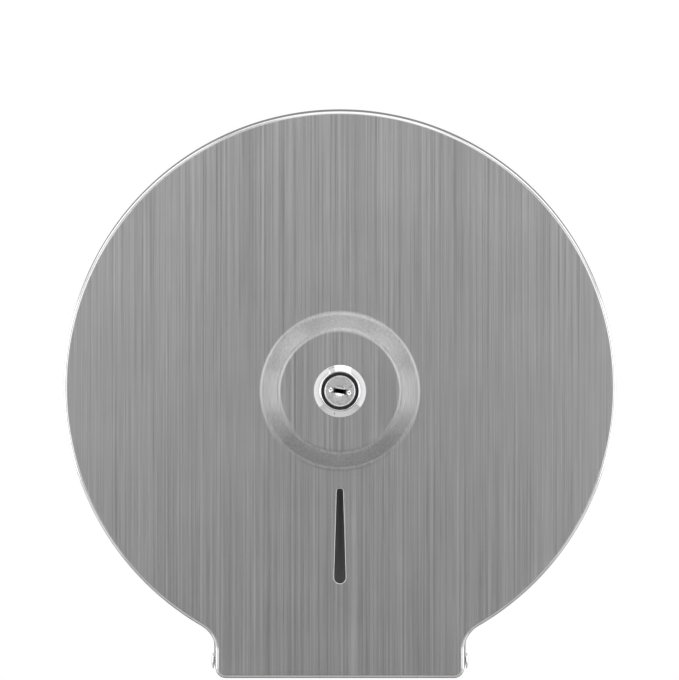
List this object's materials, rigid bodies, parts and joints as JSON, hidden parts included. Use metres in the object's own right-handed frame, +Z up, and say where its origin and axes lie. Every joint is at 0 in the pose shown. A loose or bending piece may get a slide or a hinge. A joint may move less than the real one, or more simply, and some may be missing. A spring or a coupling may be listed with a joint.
{
  "type": "jumbo toilet roll dispenser",
  "caption": "Round wall-mounted steel toilet roll dispenser with a hinged drum cover, keyed centre lock, view slot, core roller and open paper spout.",
  "frame": {"origin": "on the wall face, at the centre of the four wall-screw holes, which is the drum's axis", "axes": "+Y into the wall, so the front faces -Y; +Z up; +X to the right as seen from the front"},
  "size_m": [0.2726, 0.1202, 0.2786],
  "materials": {
    "brushed_cover": "vertical satin brushing",
    "back_steel": "mill finish",
    "bracket_steel": "mill finish",
    "rivet_steel": "smooth, turned",
    "spring_steel": "plain",
    "zinc_steel": "bright zinc plate",
    "lock_chrome": "polished chrome plate",
    "lock_satin": "satin nickel",
    "wafer_brass": "stamped",
    "white_nylon": "moulded",
    "grey_plastic": "moulded, fine grain"
  },
  "bodies": {
    "back": {"back_plate": "back_steel", "hinge_bracket_left": "bracket_steel", "hinge_bracket_right": "bracket_steel", "bracket_rivets": "rivet_steel", "tear_bar_left": "bracket_steel", "tear_bar_right": "bracket_steel", "tear_bar_rivets": "rivet_steel", "spindle_post": "back_steel", "post_rivets": "rivet_steel", "strike_plate": "bracket_steel", "roller_spacer": "white_nylon", "front_washer": "white_nylon", "retaining_ring": "spring_steel", "hinge_pin_left": "rivet_steel", "hinge_pin_right": "rivet_steel", "hinge_washer_left": "white_nylon", "hinge_washer_right": "white_nylon"},
    "roller": {"core_roller": "grey_plastic", "roll_guide": "grey_plastic"},
    "cover": {"front_cover": "brushed_cover", "lock_barrel": "lock_chrome", "lock_washer": "spring_steel", "lock_nut": "zinc_steel"},
    "lock": {"lock_plug": "lock_satin", "lock_wafers": "wafer_brass", "lock_cam": "zinc_steel", "cam_washer": "spring_steel", "cam_screw": "zinc_steel"}
  },
  "joints": [
    {"name": "cover_hinge", "type": "hinge", "parent": "back", "child": "cover", "pos_m": [0, -0.009, -0.136], "axis": [1, 0, 0], "range_deg": [0, 90]},
    {"name": "lock_turn", "type": "hinge", "parent": "cover", "child": "lock", "pos_m": [0, -0.118, -0.0019], "axis": [0, 1, 0], "range_deg": [0, 90]},
    {"name": "roller_spin", "type": "hinge", "parent": "back", "child": "roller", "pos_m": [0, -0.05, -0.0019], "axis": [0, 1, 0], "continuous": true}
  ]
}
